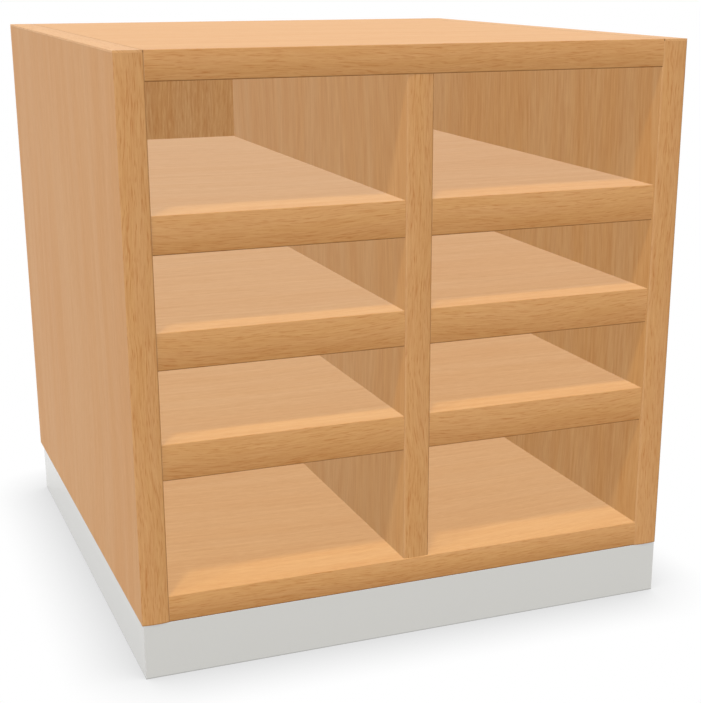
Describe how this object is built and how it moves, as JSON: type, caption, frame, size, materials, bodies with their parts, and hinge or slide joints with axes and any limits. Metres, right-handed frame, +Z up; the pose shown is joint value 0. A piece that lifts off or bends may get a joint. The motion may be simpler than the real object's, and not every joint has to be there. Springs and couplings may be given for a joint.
{
  "type": "mail sorting cabinet",
  "caption": "Open beech-decor cabinet on a light grey plinth, with a centre divider and thick shelves that form compartments for sorting mail, and levelling feet inside the plinth.",
  "frame": {"origin": "on the floor, under the middle of the cabinet's outline", "axes": "+X to the right along the front, +Y from the front to the rear, +Z up"},
  "size_m": [0.545, 0.57, 0.565],
  "materials": {
    "beech_laminate": "melamine-faced board in beech decor, satin",
    "beech_back": "thin back board in beech decor, satin",
    "beech_edging": "printed ABS edge band in beech decor, satin",
    "plinth_board": "melamine-faced board, light grey, satin",
    "bare_wood": "bare beech, unfinished",
    "zinc_casting": "die-cast zinc alloy",
    "plated_steel": "zinc-plated steel",
    "foot_plastic": "black moulded plastic"
  },
  "bodies": {
    "cabinet": {"left_side_panel": "beech_laminate", "right_side_panel": "beech_laminate", "top_panel": "beech_laminate", "bottom_panel": "beech_laminate", "centre_divider": "beech_laminate", "back_panel": "beech_back", "left_upper_shelf": "beech_laminate", "left_middle_shelf": "beech_laminate", "left_lower_shelf": "beech_laminate", "right_upper_shelf": "beech_laminate", "right_middle_shelf": "beech_laminate", "right_lower_shelf": "beech_laminate", "left_side_front_band": "beech_edging", "right_side_front_band": "beech_edging", "left_side_top_band": "beech_edging", "right_side_top_band": "beech_edging", "left_side_rear_band": "beech_edging", "right_side_rear_band": "beech_edging", "top_front_band": "beech_edging", "top_rear_band": "beech_edging", "bottom_front_band": "beech_edging", "bottom_rear_band": "beech_edging", "divider_front_band": "beech_edging", "left_upper_shelf_band": "beech_edging", "left_middle_shelf_band": "beech_edging", "left_lower_shelf_band": "beech_edging", "right_upper_shelf_band": "beech_edging", "right_middle_shelf_band": "beech_edging", "right_lower_shelf_band": "beech_edging", "carcass_dowels": "bare_wood", "cam_housings": "zinc_casting", "cam_bolts": "plated_steel", "shelf_supports": "plated_steel", "back_panel_screws": "plated_steel", "plinth_front_rail": "plinth_board", "plinth_rear_rail": "plinth_board", "plinth_left_rail": "plinth_board", "plinth_right_rail": "plinth_board", "front_left_corner_block": "bare_wood", "front_right_corner_block": "bare_wood", "rear_left_corner_block": "bare_wood", "rear_right_corner_block": "bare_wood", "block_rail_screws": "plated_steel", "block_riser_screws": "plated_steel", "leveller_inserts": "plated_steel"},
    "front_left_pad_body": {"front_left_leveller_pad": "foot_plastic"},
    "front_left_spindle_body": {"front_left_leveller_spindle": "plated_steel"},
    "front_right_pad_body": {"front_right_leveller_pad": "foot_plastic"},
    "front_right_spindle_body": {"front_right_leveller_spindle": "plated_steel"},
    "rear_left_pad_body": {"rear_left_leveller_pad": "foot_plastic"},
    "rear_left_spindle_body": {"rear_left_leveller_spindle": "plated_steel"},
    "rear_right_pad_body": {"rear_right_leveller_pad": "foot_plastic"},
    "rear_right_spindle_body": {"rear_right_leveller_spindle": "plated_steel"}
  },
  "joints": [
    {"name": "front_left_leveller_travel", "type": "slide", "parent": "cabinet", "child": "front_left_pad_body", "axis": [0, 0, -1], "range_m": [0, 0.01]},
    {"name": "front_left_leveller_turn", "type": "hinge", "parent": "front_left_pad_body", "child": "front_left_spindle_body", "pos_m": [-0.2355, -0.248, 0.02], "axis": [0, 0, -1], "range_deg": [0, 2880]},
    {"name": "front_right_leveller_travel", "type": "slide", "parent": "cabinet", "child": "front_right_pad_body", "axis": [0, 0, -1], "range_m": [0, 0.01]},
    {"name": "front_right_leveller_turn", "type": "hinge", "parent": "front_right_pad_body", "child": "front_right_spindle_body", "pos_m": [0.2355, -0.248, 0.02], "axis": [0, 0, -1], "range_deg": [0, 2880]},
    {"name": "rear_left_leveller_travel", "type": "slide", "parent": "cabinet", "child": "rear_left_pad_body", "axis": [0, 0, -1], "range_m": [0, 0.01]},
    {"name": "rear_left_leveller_turn", "type": "hinge", "parent": "rear_left_pad_body", "child": "rear_left_spindle_body", "pos_m": [-0.2355, 0.229, 0.02], "axis": [0, 0, -1], "range_deg": [0, 2880]},
    {"name": "rear_right_leveller_travel", "type": "slide", "parent": "cabinet", "child": "rear_right_pad_body", "axis": [0, 0, -1], "range_m": [0, 0.01]},
    {"name": "rear_right_leveller_turn", "type": "hinge", "parent": "rear_right_pad_body", "child": "rear_right_spindle_body", "pos_m": [0.2355, 0.229, 0.02], "axis": [0, 0, -1], "range_deg": [0, 2880]}
  ],
  "couplings": [
    {"joint": "front_left_leveller_travel", "follows": "front_left_leveller_turn", "m_per_rad": 0.00019894},
    {"joint": "front_right_leveller_travel", "follows": "front_right_leveller_turn", "m_per_rad": 0.00019894},
    {"joint": "rear_left_leveller_travel", "follows": "rear_left_leveller_turn", "m_per_rad": 0.00019894},
    {"joint": "rear_right_leveller_travel", "follows": "rear_right_leveller_turn", "m_per_rad": 0.00019894}
  ]
}
